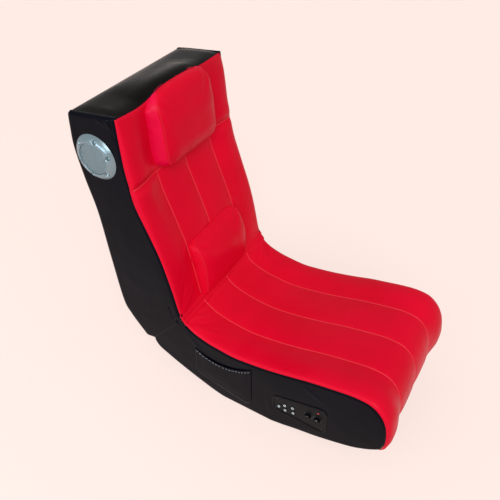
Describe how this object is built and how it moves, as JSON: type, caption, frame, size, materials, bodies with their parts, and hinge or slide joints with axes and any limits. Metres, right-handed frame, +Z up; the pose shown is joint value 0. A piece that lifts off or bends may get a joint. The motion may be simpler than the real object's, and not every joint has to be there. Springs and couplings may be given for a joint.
{
  "type": "gaming rocker chair",
  "caption": "Legless folding floor rocker seat with padded backrest, head and lumbar pillows, side speakers, and a control panel and pocket on one side.",
  "frame": {"origin": "on the floor, in the middle of the box around the whole chair, with the chair at rest on the flat part of its underside and its backrest unfolded", "axes": "+Z up, -Y the way the sitter faces, +X to the sitter's left"},
  "size_m": [0.4346, 0.8264, 0.7913],
  "materials": {
    "red_vinyl": "satin",
    "black_vinyl": "gloss",
    "plywood": "matte",
    "hinge_steel": "satin",
    "silver_paint": "satin",
    "screw_steel": "polished",
    "panel_plastic": "satin",
    "knob_plastic": "matte",
    "driver_plastic": "matte",
    "socket_metal": "polished",
    "circuit_board": "satin",
    "light_lens": "gloss"
  },
  "bodies": {
    "seat": {"seat_cushion": "red_vinyl", "seat_deck": "plywood", "seat_underside_cover": "black_vinyl", "seat_side_board_right": "plywood", "seat_side_board_left": "plywood", "seat_side_cover_right": "black_vinyl", "seat_side_cover_left": "black_vinyl", "seat_rocker_board": "plywood", "seat_rear_cross_board": "plywood", "seat_middle_cross_board": "plywood", "seat_front_cross_board": "plywood", "control_panel": "panel_plastic", "power_socket": "socket_metal", "audio_socket_1": "socket_metal", "audio_socket_2": "socket_metal", "audio_socket_3": "socket_metal", "audio_socket_4": "socket_metal", "power_light": "light_lens", "amplifier_housing": "panel_plastic", "amplifier_board": "circuit_board", "side_pocket": "black_vinyl", "seat_hinge_strap_right": "hinge_steel", "seat_hinge_strap_left": "hinge_steel", "hinge_pin_right": "hinge_steel", "hinge_pin_left": "hinge_steel"},
    "back": {"back_cushion": "red_vinyl", "back_panel": "plywood", "back_rear_cover": "black_vinyl", "back_top_cover": "black_vinyl", "back_side_board_right": "plywood", "back_side_board_left": "plywood", "back_side_cover_right": "black_vinyl", "back_side_cover_left": "black_vinyl", "speaker_driver_right": "driver_plastic", "speaker_bezel_right": "silver_paint", "speaker_grille_right": "silver_paint", "speaker_screw_right_1": "screw_steel", "speaker_screw_right_2": "screw_steel", "speaker_screw_right_3": "screw_steel", "speaker_screw_right_4": "screw_steel", "speaker_screw_right_5": "screw_steel", "speaker_screw_right_6": "screw_steel", "speaker_driver_left": "driver_plastic", "speaker_bezel_left": "silver_paint", "speaker_grille_left": "silver_paint", "speaker_screw_left_1": "screw_steel", "speaker_screw_left_2": "screw_steel", "speaker_screw_left_3": "screw_steel", "speaker_screw_left_4": "screw_steel", "speaker_screw_left_5": "screw_steel", "speaker_screw_left_6": "screw_steel", "back_top_rail": "plywood", "back_middle_rail": "plywood", "back_bottom_rail": "plywood", "head_pillow": "red_vinyl", "lumbar_pillow": "red_vinyl", "back_hinge_strap_right": "hinge_steel", "back_hinge_strap_left": "hinge_steel"},
    "volume_knob": {"volume_knob": "knob_plastic"},
    "bass_knob": {"bass_knob": "knob_plastic"}
  },
  "joints": [
    {"name": "back_fold", "type": "hinge", "parent": "seat", "child": "back", "pos_m": [0, 0.15856, 0.23912], "axis": [1, 0, 0], "range_deg": [0, 90]},
    {"name": "volume_knob_turn", "type": "hinge", "parent": "seat", "child": "volume_knob", "pos_m": [-0.205, -0.21673, 0.10635], "axis": [-1, 0, 0], "range_deg": [-150, 150]},
    {"name": "bass_knob_turn", "type": "hinge", "parent": "seat", "child": "bass_knob", "pos_m": [-0.205, -0.24178, 0.10738], "axis": [-1, 0, 0], "range_deg": [-150, 150]}
  ]
}
